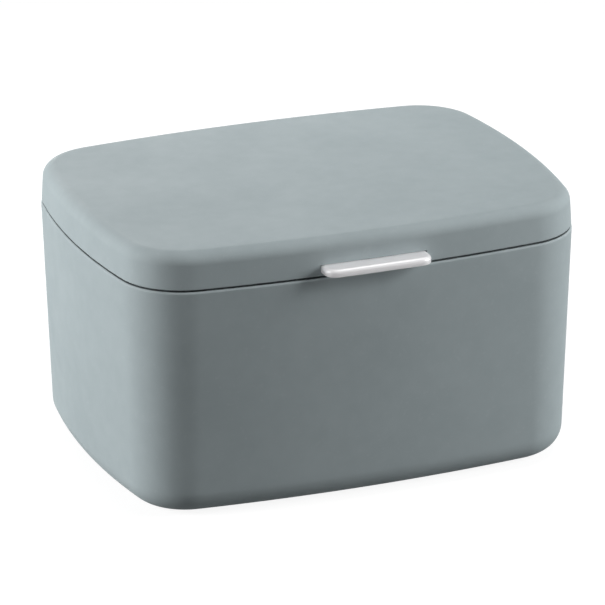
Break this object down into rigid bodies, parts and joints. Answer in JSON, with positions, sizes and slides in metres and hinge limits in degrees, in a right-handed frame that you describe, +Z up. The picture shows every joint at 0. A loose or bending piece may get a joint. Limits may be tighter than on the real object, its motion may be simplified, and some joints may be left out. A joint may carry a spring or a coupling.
{
  "type": "storage box",
  "caption": "Bow-sided plastic storage box with a hinged, round-edged flat lid and a slim white finger grip at its front.",
  "frame": {"origin": "on the table, under the middle of the closed box", "axes": "+X to the box's right as seen from its grip, +Y to its hinges, +Z up"},
  "size_m": [0.19, 0.156, 0.1073],
  "materials": {
    "grey_shell": "fine soft-touch matt",
    "white_grip": "smooth gloss",
    "steel": "drawn wire",
    "soft_foot": "matt elastomer"
  },
  "bodies": {
    "box": {"box_body": "grey_shell", "hinge_pin_left": "steel", "hinge_pin_right": "steel", "foot_front_left": "soft_foot", "foot_front_right": "soft_foot", "foot_back_left": "soft_foot", "foot_back_right": "soft_foot"},
    "lid": {"lid_shell": "grey_shell", "grip": "white_grip", "grip_screw_left": "steel", "grip_screw_right": "steel"}
  },
  "joints": [
    {"name": "lid_hinge", "type": "hinge", "parent": "box", "child": "lid", "pos_m": [0, 0.0743, 0.0928], "axis": [-1, 0, 0], "range_deg": [0, 105]}
  ]
}
